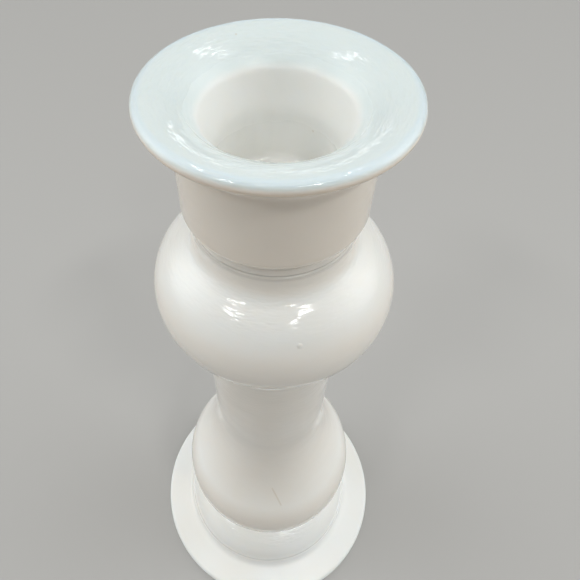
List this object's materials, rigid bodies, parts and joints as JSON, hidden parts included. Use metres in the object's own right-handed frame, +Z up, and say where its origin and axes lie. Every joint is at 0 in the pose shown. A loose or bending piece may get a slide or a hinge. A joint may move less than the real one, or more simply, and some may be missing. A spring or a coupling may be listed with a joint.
{
  "type": "glass candlestick",
  "caption": "Upright white opaline glass candlestick with a flared dished lip, round knop, baluster stem and wide round foot, for a taper candle.",
  "frame": {"origin": "centre of the foot's resting ring, on the table", "axes": "+Z up along the candlestick's axis, out of the candle socket; +X and +Y are any two level directions, since the piece is round"},
  "size_m": [0.0884, 0.0884, 0.2032],
  "materials": {
    "milk_glass": "fire polished opaque white glass, faintly blue where it thins at the lip"
  },
  "bodies": {
    "root": {"foot": "milk_glass", "base_collar": "milk_glass", "stem": "milk_glass", "waist_ring": "milk_glass", "knop": "milk_glass", "neck_ring": "milk_glass", "socket": "milk_glass"}
  },
  "joints": []
}
